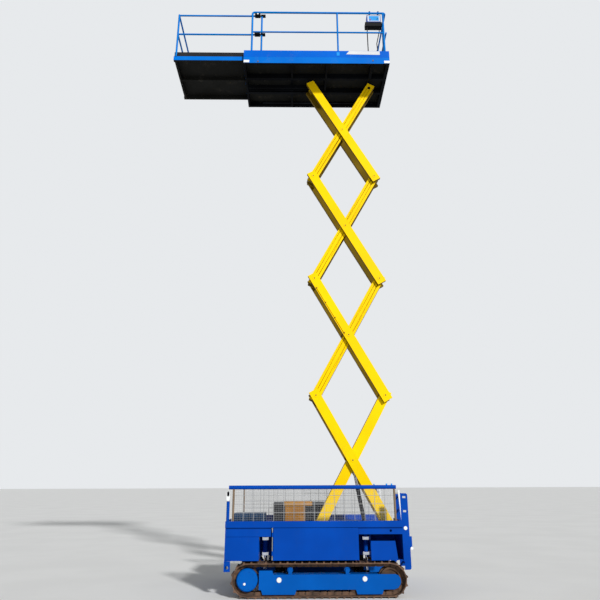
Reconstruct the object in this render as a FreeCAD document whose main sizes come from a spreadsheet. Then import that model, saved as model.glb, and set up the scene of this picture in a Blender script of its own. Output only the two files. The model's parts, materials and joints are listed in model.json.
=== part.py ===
import FreeCAD, Part
import math
import os
import Sketcher
from FreeCAD import Placement, Rotation, Vector

# Scissor lift on steel tracks, platform raised, deck extension pulled out.
# X runs along the machine (the ladder and the platform gate are at +X), Y across it, Z up.
# The origin is on the ground under the middle of the whole machine. All lengths in mm.

doc = FreeCAD.newDocument("ScissorLift")
sheet = doc.addObject("Spreadsheet::Sheet", "Sizes")


class Size:
    """A length that knows both its expression in the sheet and its number."""

    def __init__(self, text, number):
        self.text = text
        self.number = float(number)

    def joined(self, sign, other, number):
        return Size("(%s %s %s)" % (self.text, sign, text_of(other)), number)

    def __add__(self, other):
        return self.joined("+", other, self.number + number_of(other))

    def __sub__(self, other):
        return self.joined("-", other, self.number - number_of(other))

    def __mul__(self, other):
        return self.joined("*", other, self.number * number_of(other))

    def __truediv__(self, other):
        return self.joined("/", other, self.number / number_of(other))

    def __radd__(self, other):
        return Size("(%s + %s)" % (text_of(other), self.text), number_of(other) + self.number)

    def __rsub__(self, other):
        return Size("(%s - %s)" % (text_of(other), self.text), number_of(other) - self.number)

    def __rmul__(self, other):
        return self * other

    def __neg__(self):
        return Size("(0 - %s)" % self.text, -self.number)


def text_of(value):
    return value.text if isinstance(value, Size) else repr(float(value))


def number_of(value):
    return value.number if isinstance(value, Size) else float(value)


def cosine(angle):
    return Size("cos(%s * 1 deg)" % angle.text, math.cos(math.radians(angle.number)))


def sine(angle):
    return Size("sin(%s * 1 deg)" % angle.text, math.sin(math.radians(angle.number)))


def slope_angle(across, along):
    """The angle in degrees whose tangent is across over along."""
    number = math.degrees(math.atan(number_of(across) / number_of(along)))
    return Size("(atan(%s / %s) / 1 deg)" % (text_of(across), text_of(along)), number)


# Driving dimensions: name, value in mm or degrees, what it is
DRIVING = [
    ("over_wide", 1950, "width over the tracks"),
    ("shoe_wide", 320, "width of a track shoe"),
    ("wheel_apart", 2050, "sprocket centre to idler centre"),
    ("drive_x", -411, "place of the sprocket centre"),
    ("belt_out", 235, "radius over the lugs at the sprocket"),
    ("lug_tall", 18, "height of a lug on a shoe"),
    ("shoe_thick", 12, "thickness of a shoe"),
    ("link_tall", 45, "height of a chain link"),
    ("link_wide", 30, "thickness of a link strand"),
    ("link_in", 45, "belt centre to the near face of a link strand"),
    ("side_in", 98, "belt centre to the side plates of a track frame"),
    ("side_plate", 12, "thickness of the track frame plates"),
    ("frame_left", -243, "left end of the track frame"),
    ("frame_right", 1777, "right end of the track frame"),
    ("frame_low", 105, "bottom of the track frame"),
    ("frame_high", 302, "top of the track frame"),
    ("guard_low", 45, "bottom of the rock guards"),
    ("block_right", -54, "right end of the block beside the sprocket"),
    ("block_high", 355, "top of the block beside the sprocket"),
    ("roller_radius", 60, "radius of a track roller"),
    ("roller_first", -100, "place of the first track roller"),
    ("roller_step", 300, "pitch of the track rollers"),
    ("carrier_radius", 40, "radius of a carrier roller"),
    ("axle_radius", 12, "radius of the roller shafts"),
    ("beam_radius", 60, "radius of the cross beams"),
    ("beam_first", 45, "place of the left cross beam"),
    ("beam_second", 1255, "place of the right cross beam"),
    ("body_left", -743, "left end of the chassis"),
    ("body_right", 1842, "right end of the chassis"),
    ("body_low", 483, "underside of the chassis"),
    ("body_high", 1012, "top of the chassis rim"),
    ("rim_tall", 80, "height of the rim above the chassis deck"),
    ("rim_wide", 60, "thickness of the rim"),
    ("deck_thick", 8, "thickness of deck and floor plates"),
    ("wall", 12, "thickness of bulkheads"),
    ("trench_half", 222, "half width of the trench that takes the folded arms"),
    ("girder_wide", 60, "thickness of the girders beside the trench"),
    ("bay_end", -263, "right end of the left bay"),
    ("door_left", -47, "left end of the side door"),
    ("door_right", 1178, "right end of the side door"),
    ("recess_end", 1367, "right end of the right cylinder recess"),
    ("skin", 25, "rim face to the inner side of the doors"),
    ("set_back", 30, "fixed side skins back from the rim face"),
    ("panel", 20, "thickness of the fixed side skins"),
    ("deep_wall", 1390, "place of the bulkhead behind the right levelling cylinders"),
    ("beam_low", 830, "underside of the beam over the right recess"),
    ("arm_long", 2442, "pin to pin length of a scissor arm"),
    ("arm_end", 95, "arm beyond its end pin"),
    ("arm_deep", 165, "depth of an arm"),
    ("arm_thick", 60, "thickness of an arm tube"),
    ("inner_in", 45, "middle plane to the inner arm tubes"),
    ("arm_gap", 10, "gap between inner and outer arm tubes"),
    ("raised", 60.874, "angle of the arms when raised"),
    ("hinge_x", 1818, "place of the fixed lower pin"),
    ("hinge_z", 830, "height of the lower pins"),
    ("pin_radius", 30, "radius of the scissor pins"),
    ("pin_fit", 0.05, "running clearance round a pin"),
    ("run_gap", 0.3, "gap between a roller and its rail"),
    ("guide_roller", 60, "radius of the scissor end rollers"),
    ("guide_thick", 12, "thickness of the roller rail flanges"),
    ("slide_wide", 40, "half width of the channel under the platform"),
    ("guide_left", -700, "left end of the roller rails"),
    ("guide_right", 720, "right end of the roller rails"),
    ("foot_x", 1430, "place of the lift cylinder foot"),
    ("foot_z", 770, "height of the lift cylinder foot"),
    ("barrel_radius", 32, "radius of the lift cylinder barrel"),
    ("rod_radius", 22, "radius of the lift cylinder rod"),
    ("barrel_long", 700, "foot pin to the gland of the lift cylinder"),
    ("floor_left", -751, "left end of the platform"),
    ("floor_right", 2165, "right end of the platform"),
    ("floor_half", 682, "half width of the platform"),
    ("floor_low", 112.1495, "top pins to the underside of the platform"),
    ("edge_tall", 149, "height of the platform side beams"),
    ("edge_wide", 50, "width of the platform side beams"),
    ("edge_wall", 6, "wall of the platform beams"),
    ("toe_high", 310, "underside of the platform to the top of the toe boards"),
    ("toe_thick", 8, "thickness of the toe boards"),
    ("rib_tall", 117, "depth of the beams under the floor"),
    ("rail_high", 1309, "underside of the platform to the centre of the top rail"),
    ("mid_high", 803, "underside of the platform to the centre of the middle rail"),
    ("rail_radius", 20, "radius of the main rails"),
    ("rail_y", 30, "main rails set in from the sides of the platform"),
    ("post_left", -600, "place of the left rail post"),
    ("post_middle", 1143, "place of the middle rail post"),
    ("post_right", 2088, "place of the right rail post"),
    ("end_rail_x", 2135, "place of the rails across the right end"),
    ("gate_half", 350, "middle plane to the gate posts"),
    ("bend", 45, "bend radius of the rail corners"),
    ("slim_radius", 16, "radius of middle rails and gate tubes"),
    ("slide_left", -2150, "left end of the extension deck, pulled out"),
    ("slide_right", -393, "right end of the extension deck, pulled out"),
    ("slide_half", 82, "half of what the extension deck is narrower than the platform"),
    ("slide_low", 6, "gap between the floor and the extension deck over it"),
    ("slide_tall", 94, "depth of the extension deck"),
    ("slide_top", 1272, "underside of the platform to the top rail of the extension"),
    ("slide_mid", 787, "underside of the platform to the middle rail of the extension"),
    ("slide_radius", 17, "radius of the extension rails"),
    ("slide_rail_y", 8, "extension rails set in from the side of their deck"),
    ("guard_high", 1479, "centre of the rail over the mesh guard"),
    ("guard_left", -637, "place of the left guard post"),
    ("guard_right", 1744, "place of the right guard post"),
    ("guard_y", 35, "mesh guards set in from the sides over the tracks"),
    ("level_left", -172, "place of the left levelling cylinders"),
    ("level_right", 1334, "place of the right levelling cylinders"),
    ("level_y", 605, "middle plane to the levelling cylinders"),
    ("store_x", 123, "left end of the store box"),
    ("store_in", 330, "middle plane to the near face of the store box"),
    ("store_out", 680, "middle plane to the outer face of the store box"),
    ("store_z", 1215, "top of the store box"),
    ("pack_left", -90, "left end of the power pack"),
    ("pack_right", 860, "right end of the power pack"),
    ("pack_tall", 300, "height of the power pack"),
]

size = {}
for row, (name, value, note) in enumerate(DRIVING, start=1):
    sheet.set("A%d" % row, note)
    sheet.set("B%d" % row, str(value))
    sheet.setAlias("B%d" % row, name)
    size[name] = Size("Sizes.%s" % name, value)
doc.recompute()
S = type("Named", (), size)

SHOE_COUNT = 52
ROLLER_COUNT = 6
STAGE_COUNT = 4
TOOTH_COUNT = 10
GUARD_BARS = 16
SIDES = (("near", -1), ("far", 1))
CARRIER_X = (200, 1018)
finished = []


def bind(thing, prop, value):
    thing.setExpression(prop, text_of(value))


def bind_place(thing, x=0, y=0, z=0):
    for axis, value in zip("xyz", (x, y, z)):
        bind(thing, "Placement.Base." + axis, value)


def across(side, low, high):
    """The Y range from low to high out from the middle plane, on one side."""
    return (low, high) if side > 0 else (-high, -low)


def block(name, x, y, z):
    """A box between two X, two Y and two Z values."""
    box = doc.addObject("Part::Box", name)
    bind(box, "Length", x[1] - x[0])
    bind(box, "Width", y[1] - y[0])
    bind(box, "Height", z[1] - z[0])
    bind_place(box, x[0], y[0], z[0])
    return box


TURNS = {"x": Rotation(Vector(0, 1, 0), 90), "y": Rotation(Vector(1, 0, 0), -90), "z": Rotation()}


def round_bar(name, axis, start, long, radius):
    """A round bar along one axis, from its start point."""
    bar = doc.addObject("Part::Cylinder", name)
    bar.Placement = Placement(Vector(), TURNS[axis])
    bind(bar, "Radius", radius)
    bind(bar, "Height", long)
    bind_place(bar, *start)
    return bar


def across_bar(name, x, y, z, radius):
    """A round bar along Y between two Y values."""
    return round_bar(name, "y", (x, y[0], z), y[1] - y[0], radius)


def fused(name, pieces):
    joined = doc.addObject("Part::MultiFuse", name)
    joined.Shapes = pieces
    joined.Refine = True
    return joined


def cut(name, base, tools):
    remainder = doc.addObject("Part::Cut", name)
    remainder.Base = base
    remainder.Tool = tools[0] if len(tools) == 1 else fused(name + "_tools", tools)
    remainder.Refine = True
    return remainder


def node(label, thing):
    """Name one finished sub-part."""
    thing.Label = label
    finished.append(thing)
    return thing


def new_body(name):
    return doc.addObject("PartDesign::Body", name)


def sketch_in(body, name, role, height):
    """A sketch on one of the body's own origin planes, moved along the plane's normal."""
    sketch = body.newObject("Sketcher::SketchObject", name)
    plane = next(item for item in body.Origin.OriginFeatures if item.Role == role)
    sketch.AttachmentSupport = [(plane, "")]
    sketch.MapMode = "FlatFace"
    bind(sketch, "AttachmentOffset.Base.z", height)
    return sketch


def tie(sketch, kind, piece, end, value):
    ends = (-1, 1, piece, end) if kind != "Radius" else (piece,)
    spot = sketch.addConstraint(Sketcher.Constraint(kind, *ends, number_of(value)))
    sketch.setExpression("Constraints[%d]" % spot, text_of(value))


def draw_outline(sketch, corners):
    """A closed straight outline, each corner tied to the sheet."""
    first = sketch.GeometryCount
    count = len(corners)
    spots = [Vector(number_of(u), number_of(v), 0) for u, v in corners]
    for here in range(count):
        sketch.addGeometry(Part.LineSegment(spots[here], spots[(here + 1) % count]), False)
    for here in range(count):
        following = first + (here + 1) % count
        sketch.addConstraint(Sketcher.Constraint("Coincident", first + here, 2, following, 1))
    for here, (u, v) in enumerate(corners):
        tie(sketch, "DistanceX", first + here, 1, u)
        tie(sketch, "DistanceY", first + here, 1, v)


def draw_circle(sketch, u, v, radius):
    centre = Vector(number_of(u), number_of(v), 0)
    ring = sketch.addGeometry(Part.Circle(centre, Vector(0, 0, 1), number_of(radius)), False)
    tie(sketch, "DistanceX", ring, 3, u)
    tie(sketch, "DistanceY", ring, 3, v)
    tie(sketch, "Radius", ring, 3, radius)


def pad(body, sketch, long):
    feature = body.newObject("PartDesign::Pad", sketch.Name + "_pad")
    feature.Profile = sketch
    bind(feature, "Length", long)
    return feature


def side_plate(name, y, corners, circles=()):
    """A flat plate cut to an outline in X and Z, between two Y values."""
    body = new_body(name)
    sketch = sketch_in(body, name + "_outline", "XZ_Plane", -y[1])
    draw_outline(sketch, corners)
    for u, v, radius in circles:
        draw_circle(sketch, u, v, radius)
    pad(body, sketch, y[1] - y[0])
    return body


def turned(name, x, z, profile, y_middle=0):
    """A body of revolution about a line along Y; profile corners are radius and Y offset."""
    body = new_body(name)
    sketch = sketch_in(body, name + "_profile", "XY_Plane", 0)
    draw_outline(sketch, profile)
    wheel = body.newObject("PartDesign::Revolution", name + "_turn")
    wheel.Profile = sketch
    wheel.ReferenceAxis = (sketch, ["V_Axis"])
    wheel.Angle = 360
    bind_place(body, x, y_middle, z)
    return body


def bent_tube(name, points, radius, bend=None):
    """A tube along straight runs joined by tangent arcs."""
    spots = [Vector(*(number_of(part) for part in point)) for point in points]
    edges = []
    start = spots[0]
    for before, corner, after in zip(spots, spots[1:], spots[2:]):
        back = (before - corner).normalize()
        ahead = (after - corner).normalize()
        half_turn = (math.pi - back.getAngle(ahead)) / 2
        reach = number_of(bend) * math.tan(half_turn)
        arc_start = corner + back * reach
        arc_end = corner + ahead * reach
        bisector = (back + ahead).normalize()
        centre = corner + bisector * (number_of(bend) / math.cos(half_turn))
        middle = centre - bisector * number_of(bend)
        edges.append(Part.LineSegment(start, arc_start).toShape())
        edges.append(Part.Arc(arc_start, middle, arc_end).toShape())
        start = arc_end
    edges.append(Part.LineSegment(start, spots[-1]).toShape())
    path = Part.Wire(edges)
    ring = Part.Wire(Part.makeCircle(number_of(radius), spots[0], spots[1] - spots[0]))
    tube = doc.addObject("Part::Feature", name)
    tube.Shape = path.makePipeShell([ring], True, False)
    return tube


# Places that several sub-parts share
belt_y = S.over_wide / 2 - S.shoe_wide / 2
wheel_z = S.belt_out
idler_x = S.drive_x + S.wheel_apart
plate_out = S.belt_out - S.lug_tall
plate_in = plate_out - S.shoe_thick
link_reach = plate_in - S.link_tall
deck_z = S.body_high - S.rim_tall
girder_out = S.trench_half + S.girder_wide
side_y = S.over_wide / 2
panel_out = side_y - S.set_back
panel_in = panel_out - S.panel
arm_out = S.inner_in + S.arm_thick * 2 + S.arm_gap
inner_out = S.inner_in + S.arm_thick
outer_in = inner_out + S.arm_gap
stage_rise = S.arm_long * sine(S.raised)
half_spread = S.arm_long * cosine(S.raised) / 2
cross_x = S.hinge_x - half_spread
left_x = S.hinge_x - half_spread * 2
top_z = S.hinge_z + stage_rise * STAGE_COUNT
platform_z = top_z + S.floor_low
floor_z = platform_z + S.rib_tall
edge_z = platform_z + S.edge_tall
toe_z = platform_z + S.toe_high
rail_z = platform_z + S.rail_high
mid_z = platform_z + S.mid_high
slide_foot = floor_z + S.deck_thick + S.slide_low
slide_z = slide_foot + S.slide_tall
slide_rail_z = platform_z + S.slide_top
slide_mid_z = platform_z + S.slide_mid
guard_line = side_y - S.guard_y
rim_in = side_y - S.rim_wide
rail_line = S.floor_half - S.rail_y
slide_side = S.floor_half - S.slide_half
slide_rail_line = slide_side - S.slide_rail_y
tip_clear = platform_z + 20
end_beam = S.end_rail_x - 35


# Tracks: one closed loop each, shoes with lugs outside and two strands of links inside
def loop_point(distance, radius):
    """A point beside the belt's pitch line, distance along it from under the sprocket."""
    run = S.wheel_apart.number
    turn = math.pi * plate_in.number
    distance %= 2 * run + 2 * turn
    left, right, height = S.drive_x.number, idler_x.number, wheel_z.number
    if distance < run:
        return left + distance, height - radius
    distance -= run
    if distance < turn:
        angle = distance / plate_in.number - math.pi / 2
        return right + radius * math.cos(angle), height + radius * math.sin(angle)
    distance -= turn
    if distance < run:
        return right - distance, height + radius
    angle = (distance - run) / plate_in.number + math.pi / 2
    return left + radius * math.cos(angle), height + radius * math.sin(angle)


def loop_wire(stations, y):
    points = [loop_point(along, radius) for along, radius in stations]
    spots = [Vector(x, y, z) for x, z in points]
    return Part.makePolygon(spots + spots[:1])


def loop_ring(outer, inner, low, high):
    ring = Part.makeFace([loop_wire(outer, low), loop_wire(inner, low)], "Part::FaceMakerBullseye")
    return ring.extrude(Vector(0, high - low, 0))


def track(name, side):
    pitch = (2 * S.wheel_apart.number + 2 * math.pi * plate_in.number) / SHOE_COUNT
    # Share of the pitch and radius of each corner of one shoe's outside
    shoe = ((0.08, plate_out), (0.16, S.belt_out), (0.30, S.belt_out), (0.42, plate_out))
    link = ((0.10, link_reach), (0.90, link_reach), (1.00, link_reach + S.link_tall / 3))
    outside = []
    seam = []
    inside = []
    for index in range(SHOE_COUNT):
        start = index * pitch
        outside += [(start + part * pitch, radius.number) for part, radius in shoe]
        seam.append((start, plate_in.number))
        inside += [(start + part * pitch, radius.number) for part, radius in link]
    middle = belt_y.number * side
    half = S.shoe_wide.number / 2
    shape = loop_ring(outside, seam, middle - half, middle + half)
    near, wide = S.link_in.number, S.link_wide.number
    for low in (middle - near - wide, middle + near):
        shape = shape.fuse(loop_ring(seam, inside, low, low + wide))
    belt = doc.addObject("Part::Feature", "Belt_" + name)
    belt.Shape = shape.removeSplitter()
    node("track_" + name, belt)


def track_frame(name, side):
    """Two side plates with rock guards, a top plate, and brackets for the carrier rollers."""
    guard = S.guard_low
    low, high = S.frame_low, S.frame_high
    left, right = S.frame_left, S.frame_right
    outline = [(left, low), (left + 33, low), (left + 53, guard), (left + 513, guard),
               (left + 533, low), (right - 645, low), (right - 625, guard), (right - 271, guard),
               (right - 251, low), (right - 100, low), (right - 45, low + 20), (right - 10, low + 65),
               (right, low + 100), (right - 8, high - 50), (right - 35, high - 15), (right - 75, high),
               (S.block_right + 14, high), (S.block_right, S.block_high), (left, S.block_high)]
    pieces = []
    inner = S.side_in
    for tag, near, far in (("in", -inner - S.side_plate, -inner), ("out", inner, inner + S.side_plate)):
        y = across(side, belt_y + near, belt_y + far)
        pieces.append(side_plate("Cheek_%s_%s" % (tag, name), y, outline))
    y = across(side, belt_y - inner, belt_y + inner)
    pieces.append(block("Cheek_top_" + name, (left + 40, idler_x - 180), y, (high - S.side_plate, high)))
    y = across(side, belt_y - inner - S.side_plate, belt_y - inner)
    pieces.append(across_bar("Drive_disc_" + name, S.drive_x, y, wheel_z, S.belt_out - 95))
    pieces.append(block("Drive_arm_" + name, (S.drive_x, left), y, (wheel_z - 70, wheel_z + 70)))
    for index, place in enumerate(CARRIER_X):
        for low_y, high_y in ((-97, -85), (85, 97)):
            y = across(side, belt_y + low_y, belt_y + high_y)
            top = wheel_z + link_reach - S.run_gap - S.carrier_radius + 20
            pieces.append(block("Carrier_ear_%s_%d_%d" % (name, index, high_y + 97),
                                (place - 25, place + 25), y, (high, top)))
    node("track_frame_" + name, fused("Track_frame_" + name, pieces))


def sprocket(name, side):
    """Toothed ring between the link strands, with the final drive filling the outer face."""
    hub = link_reach - 10
    ring = link_reach - 1
    face = S.shoe_wide / 2 - 20
    step = S.side_in
    y = side
    profile = [(0, -step * y), (hub - 30, -step * y), (hub - 30, -20 * y), (ring, -20 * y),
               (ring, 20 * y), (hub, 40 * y), (hub, (face - 15) * y), (hub - 15, face * y), (0, face * y)]
    body = turned("Sprocket_" + name, S.drive_x, wheel_z, profile, belt_y * side)
    tooth = sketch_in(body, "Tooth_" + name, "XZ_Plane", -18)
    draw_outline(tooth, [(-30, ring - 20), (30, ring - 20), (13, plate_in - 14), (-13, plate_in - 14)])
    pad(body, tooth, 36)
    teeth = body.newObject("PartDesign::PolarPattern", "Teeth_" + name)
    teeth.Originals = [body.Tip]
    axis = next(item for item in body.Origin.OriginFeatures if item.Role == "Y_Axis")
    teeth.Axis = (axis, [""])
    teeth.Angle = 360
    teeth.Occurrences = TOOTH_COUNT
    body.Tip = teeth
    node("sprocket_" + name, body)


def idler(name, side):
    # The straight links cut a little inside their circle
    rim = link_reach - 4
    profile = [(0, -S.side_in), (30, -S.side_in), (30, -50), (rim - 30, -50), (rim - 30, -78), (rim, -78),
               (rim, -30), (rim + 18, -30), (rim + 18, 30), (rim, 30), (rim, 78), (rim - 30, 78),
               (rim - 30, 50), (30, 50), (30, S.side_in), (0, S.side_in)]
    node("idler_" + name, turned("Idler_" + name, idler_x, wheel_z, profile, belt_y * side))


def rollers(name, side):
    """Track rollers on the lower run and carrier rollers under the upper run."""
    pieces = []
    radius = S.roller_radius
    height = wheel_z - link_reach + S.run_gap + radius
    for index in range(ROLLER_COUNT):
        profile = [(0, -S.side_in), (S.axle_radius, -S.side_in), (S.axle_radius, -82), (radius, -82),
                   (radius, 82), (S.axle_radius, 82), (S.axle_radius, S.side_in), (0, S.side_in)]
        place = S.roller_first + S.roller_step * index
        pieces.append(turned("Roller_%s_%d" % (name, index), place, height, profile, belt_y * side))
    radius = S.carrier_radius
    height = wheel_z + link_reach - S.run_gap - radius
    for index, place in enumerate(CARRIER_X):
        profile = [(0, -85), (S.axle_radius, -85), (S.axle_radius, -80), (radius, -80), (radius, 80),
                   (S.axle_radius, 80), (S.axle_radius, 85), (0, 85)]
        pieces.append(turned("Carrier_%s_%d" % (name, index), place, height, profile, belt_y * side))
    node("rollers_" + name, fused("Rollers_" + name, pieces))


def cross_beams():
    """Round beams between the track frames, each with a pedestal under the chassis."""
    pieces = []
    reach = belt_y - S.side_in - S.side_plate
    for index, place in enumerate((S.beam_first, S.beam_second)):
        pieces.append(across_bar("Beam_%d" % index, place, (-reach, reach), wheel_z, S.beam_radius))
        pieces.append(block("Pedestal_%d" % index, (place - 80, place + 80),
                            (-S.trench_half, S.trench_half), (wheel_z, S.body_low)))
        for name, side in SIDES:
            y = across(side, LEVEL_Y - 30, LEVEL_Y + 30)
            outward = LEVEL_X[index] - place
            ends = ((place - 30, LEVEL_X[index] + 40) if outward.number > 0
                    else (LEVEL_X[index] - 40, place + 30))
            pieces.append(block("Level_shelf_%d_%s" % (index, name), ends, y, (wheel_z, wheel_z + 75)))
    node("cross_beams", fused("Cross_beams", pieces))


LEVEL_Y = S.level_y
LEVEL_X = (S.level_left, S.level_right)


def level_cylinders():
    """Upright levelling cylinders in the side recesses, barrels above and rods below."""
    barrels = []
    rods = []
    low = wheel_z + 75
    neck = S.body_low + 42
    for index, place in enumerate(LEVEL_X):
        for name, side in SIDES:
            tag = "%d_%s" % (index, name)
            y = LEVEL_Y * side
            top = deck_z - S.deck_thick
            barrels.append(round_bar("Level_barrel_" + tag, "z", (place, y, neck), top - neck, 37))
            barrels.append(round_bar("Level_collar_" + tag, "z", (place, y, neck), 38, 46))
            barrels.append(round_bar("Level_cap_" + tag, "z", (place, y, neck + 207), 38, 46))
            rods.append(round_bar("Level_rod_" + tag, "z", (place, y, low), neck - low, 18))
    node("level_barrels", fused("Level_barrels", barrels))
    node("level_rods", fused("Level_rods", rods))


def chassis_frame():
    """Girders beside an open trench, rims, bulkheads, decks and floor plates."""
    pieces = []
    left, right = S.body_left, S.body_right
    low, high = S.body_low, S.body_high
    pieces.append(block("Trench_floor", (left, right), (-S.trench_half, S.trench_half), (low, low + S.wall)))
    # Each bulkhead: letter, left face, how far out it reaches
    walls = (("a", left, panel_in), ("b", S.bay_end, panel_in), ("c", S.door_left - S.wall, panel_in),
             ("d", S.door_right, panel_in), ("e", S.deep_wall, panel_in - 225),
             ("f", right - S.wall, panel_in))
    closed = (("left", left, S.bay_end + S.wall), ("middle", S.door_left - S.wall, S.door_right + S.wall),
              ("right", S.deep_wall, right))
    for name, side in SIDES:
        pieces.append(block("Girder_" + name, (left, right), across(side, S.trench_half, girder_out),
                            (low, deck_z)))
        pieces.append(block("Deck_" + name, (left, right), across(side, S.trench_half, side_y - S.rim_wide),
                            (deck_z - S.deck_thick, deck_z)))
        pieces.append(block("Rim_" + name, (left, right), across(side, side_y - S.rim_wide, side_y),
                            (deck_z - S.deck_thick, high)))
        for tag, place, reach in walls:
            pieces.append(block("Bulkhead_%s_%s" % (tag, name), (place, place + S.wall),
                                across(side, girder_out, reach), (low, deck_z)))
        for tag, start, end in closed:
            pieces.append(block("Belly_%s_%s" % (tag, name), (start, end),
                                across(side, girder_out, panel_in), (low, low + S.deck_thick)))
        for tag, start, end in (("left", left, left + S.wall), ("right", right - S.wall, right)):
            pieces.append(block("End_rim_%s_%s" % (tag, name), (start, end),
                                across(side, S.trench_half, side_y), (deck_z - S.deck_thick, high)))
    node("chassis_frame", fused("Chassis_frame", pieces))


def side_panels(name, side):
    """Fixed skins beside the door: the left bay, beams over both recesses, the right lower panel."""
    y = across(side, panel_in, panel_out)
    top = deck_z - S.deck_thick
    low = S.body_low
    bay = block("Bay_skin_" + name, (S.body_left, S.bay_end + S.wall), y, (low, top))
    groove = block("Bay_groove_" + name, (S.body_left - 1, S.bay_end + S.wall + 1),
                   across(side, panel_out - 6, panel_out + 1), (low + 310, low + 322))
    left_bay = cut("Left_bay_" + name, bay, [groove])
    left_beam = block("Left_beam_" + name, (S.bay_end + S.wall, S.door_left - 31), y, (top - 121, top))
    beam = block("Side_beam_" + name, (S.door_right + S.wall + 2, S.body_right), y, (S.beam_low, top))
    hole = across_bar("Beam_hole_" + name, S.body_right - 179, across(side, panel_in - 1, panel_out + 1),
                      S.beam_low + 47, 17)
    right_beam = cut("Right_beam_" + name, beam, [hole])
    lower = side_plate("Lower_skin_" + name, y, [
        (S.recess_end, low), (S.body_right - 90, low), (S.body_right - 122, low + 257),
        (S.recess_end, low + 257)])
    corner = block("Corner_post_" + name, (S.body_right - S.wall, S.body_right), y, (low, S.beam_low))
    node("side_panels_" + name,
         fused("Side_panels_" + name, [left_bay, left_beam, right_beam, lower, corner]))


DOOR_PIN_X = S.door_left - 10
DOOR_PIN_Y = side_y - 13


def door(name, side):
    """Side door on an upright pin at its left edge; the chassis keeps the pin."""
    low, high = S.body_low + 8, deck_z - S.deck_thick - 5
    y = across(side, side_y - S.skin, side_y - 3)
    leaf = block("Door_leaf_" + name, (S.door_left + 4, S.door_right + S.wall - 2), y, (low, high))
    pieces = [leaf]
    for index, start in enumerate((low + 60, high - 120)):
        pieces.append(round_bar("Door_knuckle_%s_%d" % (name, index), "z",
                                (DOOR_PIN_X, DOOR_PIN_Y * side, start), 60, 10))
        pieces.append(block("Door_strap_%s_%d" % (name, index), (DOOR_PIN_X, S.door_left + 5),
                            across(side, DOOR_PIN_Y - 4, DOOR_PIN_Y + 4), (start, start + 60)))
    bore = round_bar("Door_bore_" + name, "z", (DOOR_PIN_X, DOOR_PIN_Y * side, low - 10), high - low + 20,
                     6 + S.pin_fit)
    node("door_" + name, cut("Door_" + name, fused("Door_solid_" + name, pieces), [bore]))


def door_pins():
    """Upright hinge pins of both doors, held by lugs on the bulkhead beside the recess."""
    pieces = []
    low, high = S.body_low + 8, deck_z - S.deck_thick
    for name, side in SIDES:
        pieces.append(round_bar("Door_pin_" + name, "z", (DOOR_PIN_X, DOOR_PIN_Y * side, low), high - low, 6))
        for index, start in enumerate((low + 5, high - 40)):
            pieces.append(round_bar("Door_lug_%s_%d" % (name, index), "z",
                                    (DOOR_PIN_X, DOOR_PIN_Y * side, start), 30, 9))
            pieces.append(block("Door_tab_%s_%d" % (name, index), (DOOR_PIN_X - 2, DOOR_PIN_X + 8),
                                across(side, panel_in, DOOR_PIN_Y), (start, start + 30)))
    node("door_pins", fused("Door_pins", pieces))


def mesh_guard(name, side):
    """Guard along the chassis rim: thick top rail, two posts, a welded grid and an end strip."""
    y = guard_line * side
    low, high = S.body_high, S.guard_high
    left, right = S.guard_left, S.guard_right
    pieces = [round_bar("Guard_rail_" + name, "x", (left - 72, y, high), right - left + 98, 28)]
    for tag, place in (("left", left), ("right", right)):
        pieces.append(round_bar("Guard_post_%s_%s" % (tag, name), "z", (place, y, low), high - low, 16))
    wire = 3
    step = (right - left) / GUARD_BARS
    for index in range(1, GUARD_BARS):
        place = left + step * index
        pieces.append(block("Guard_wire_%s_%d" % (name, index), (place - wire, place + wire),
                            (y - wire, y + wire), (low, high)))
    for index in (1, 2, 3):
        height = low + (high - low) * index / 4
        pieces.append(block("Guard_strip_%s_%d" % (name, index), (left, right),
                            (y - wire, y + wire), (height - wire, height + wire)))
    strip = S.body_right - 41
    pieces.append(block("End_strip_" + name, (strip, strip + 24), (y - 5, y + 5), (low, high - 43)))
    pieces.append(block("End_stay_" + name, (right, strip), (y - 5, y + 5), (high - 100, high - 80)))
    node("guard_" + name, fused("Guard_" + name, pieces))


def ladder():
    """Boarding ladder on the right end: two pierced stiles and round rungs."""
    pieces = []
    left, right = S.body_right, S.body_right + 92
    low, high = S.body_low - 124, S.body_high + 378
    outline = [(left, low), (right - 20, low), (right, low + 20), (right, high - 20), (right - 20, high),
               (left - 16, high), (left - 16, S.body_high), (left, S.body_high)]
    outer = side_y - 30
    inner = outer - 400
    for tag, near in (("outer", outer), ("inner", inner)):
        pieces.append(side_plate("Stile_" + tag, (-near, -near + 10), outline))
    for index in range(6):
        height = low + 60 + index * 190
        pieces.append(across_bar("Rung_%d" % index, right - 40, (-outer + 5, -inner + 5), height, 14))
    pieces.append(block("Step_hook", (right, right + 30), (-outer, -outer + 20), (low + 290, low + 440)))
    slots = []
    for index, height in enumerate((high - 54, high - 249)):
        slots.append(block("Stile_slot_%d" % index, (left + 8, left + 64), (-outer - 5, -outer + 15),
                           (height - 14, height + 14)))
    node("ladder", cut("Ladder", fused("Ladder_solid", pieces), slots))


def base_rails():
    """Channel rails on the trench walls that guide the sliding lower rollers."""
    pieces = []
    reach = S.guide_roller + S.run_gap
    x = (S.guide_left, S.guide_right)
    for tag, side in SIDES:
        web = across(side, S.trench_half - 6, S.trench_half)
        flange = across(side, arm_out + 6, S.trench_half)
        low, high = S.hinge_z - reach, S.hinge_z + reach
        pieces.append(block("Base_web_" + tag, x, web, (low - S.guide_thick, high + S.guide_thick)))
        pieces.append(block("Base_low_" + tag, x, flange, (low - S.guide_thick, low)))
        pieces.append(block("Base_high_" + tag, x, flange, (high, high + S.guide_thick)))
    node("base_rails", fused("Base_rails", pieces))


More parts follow.
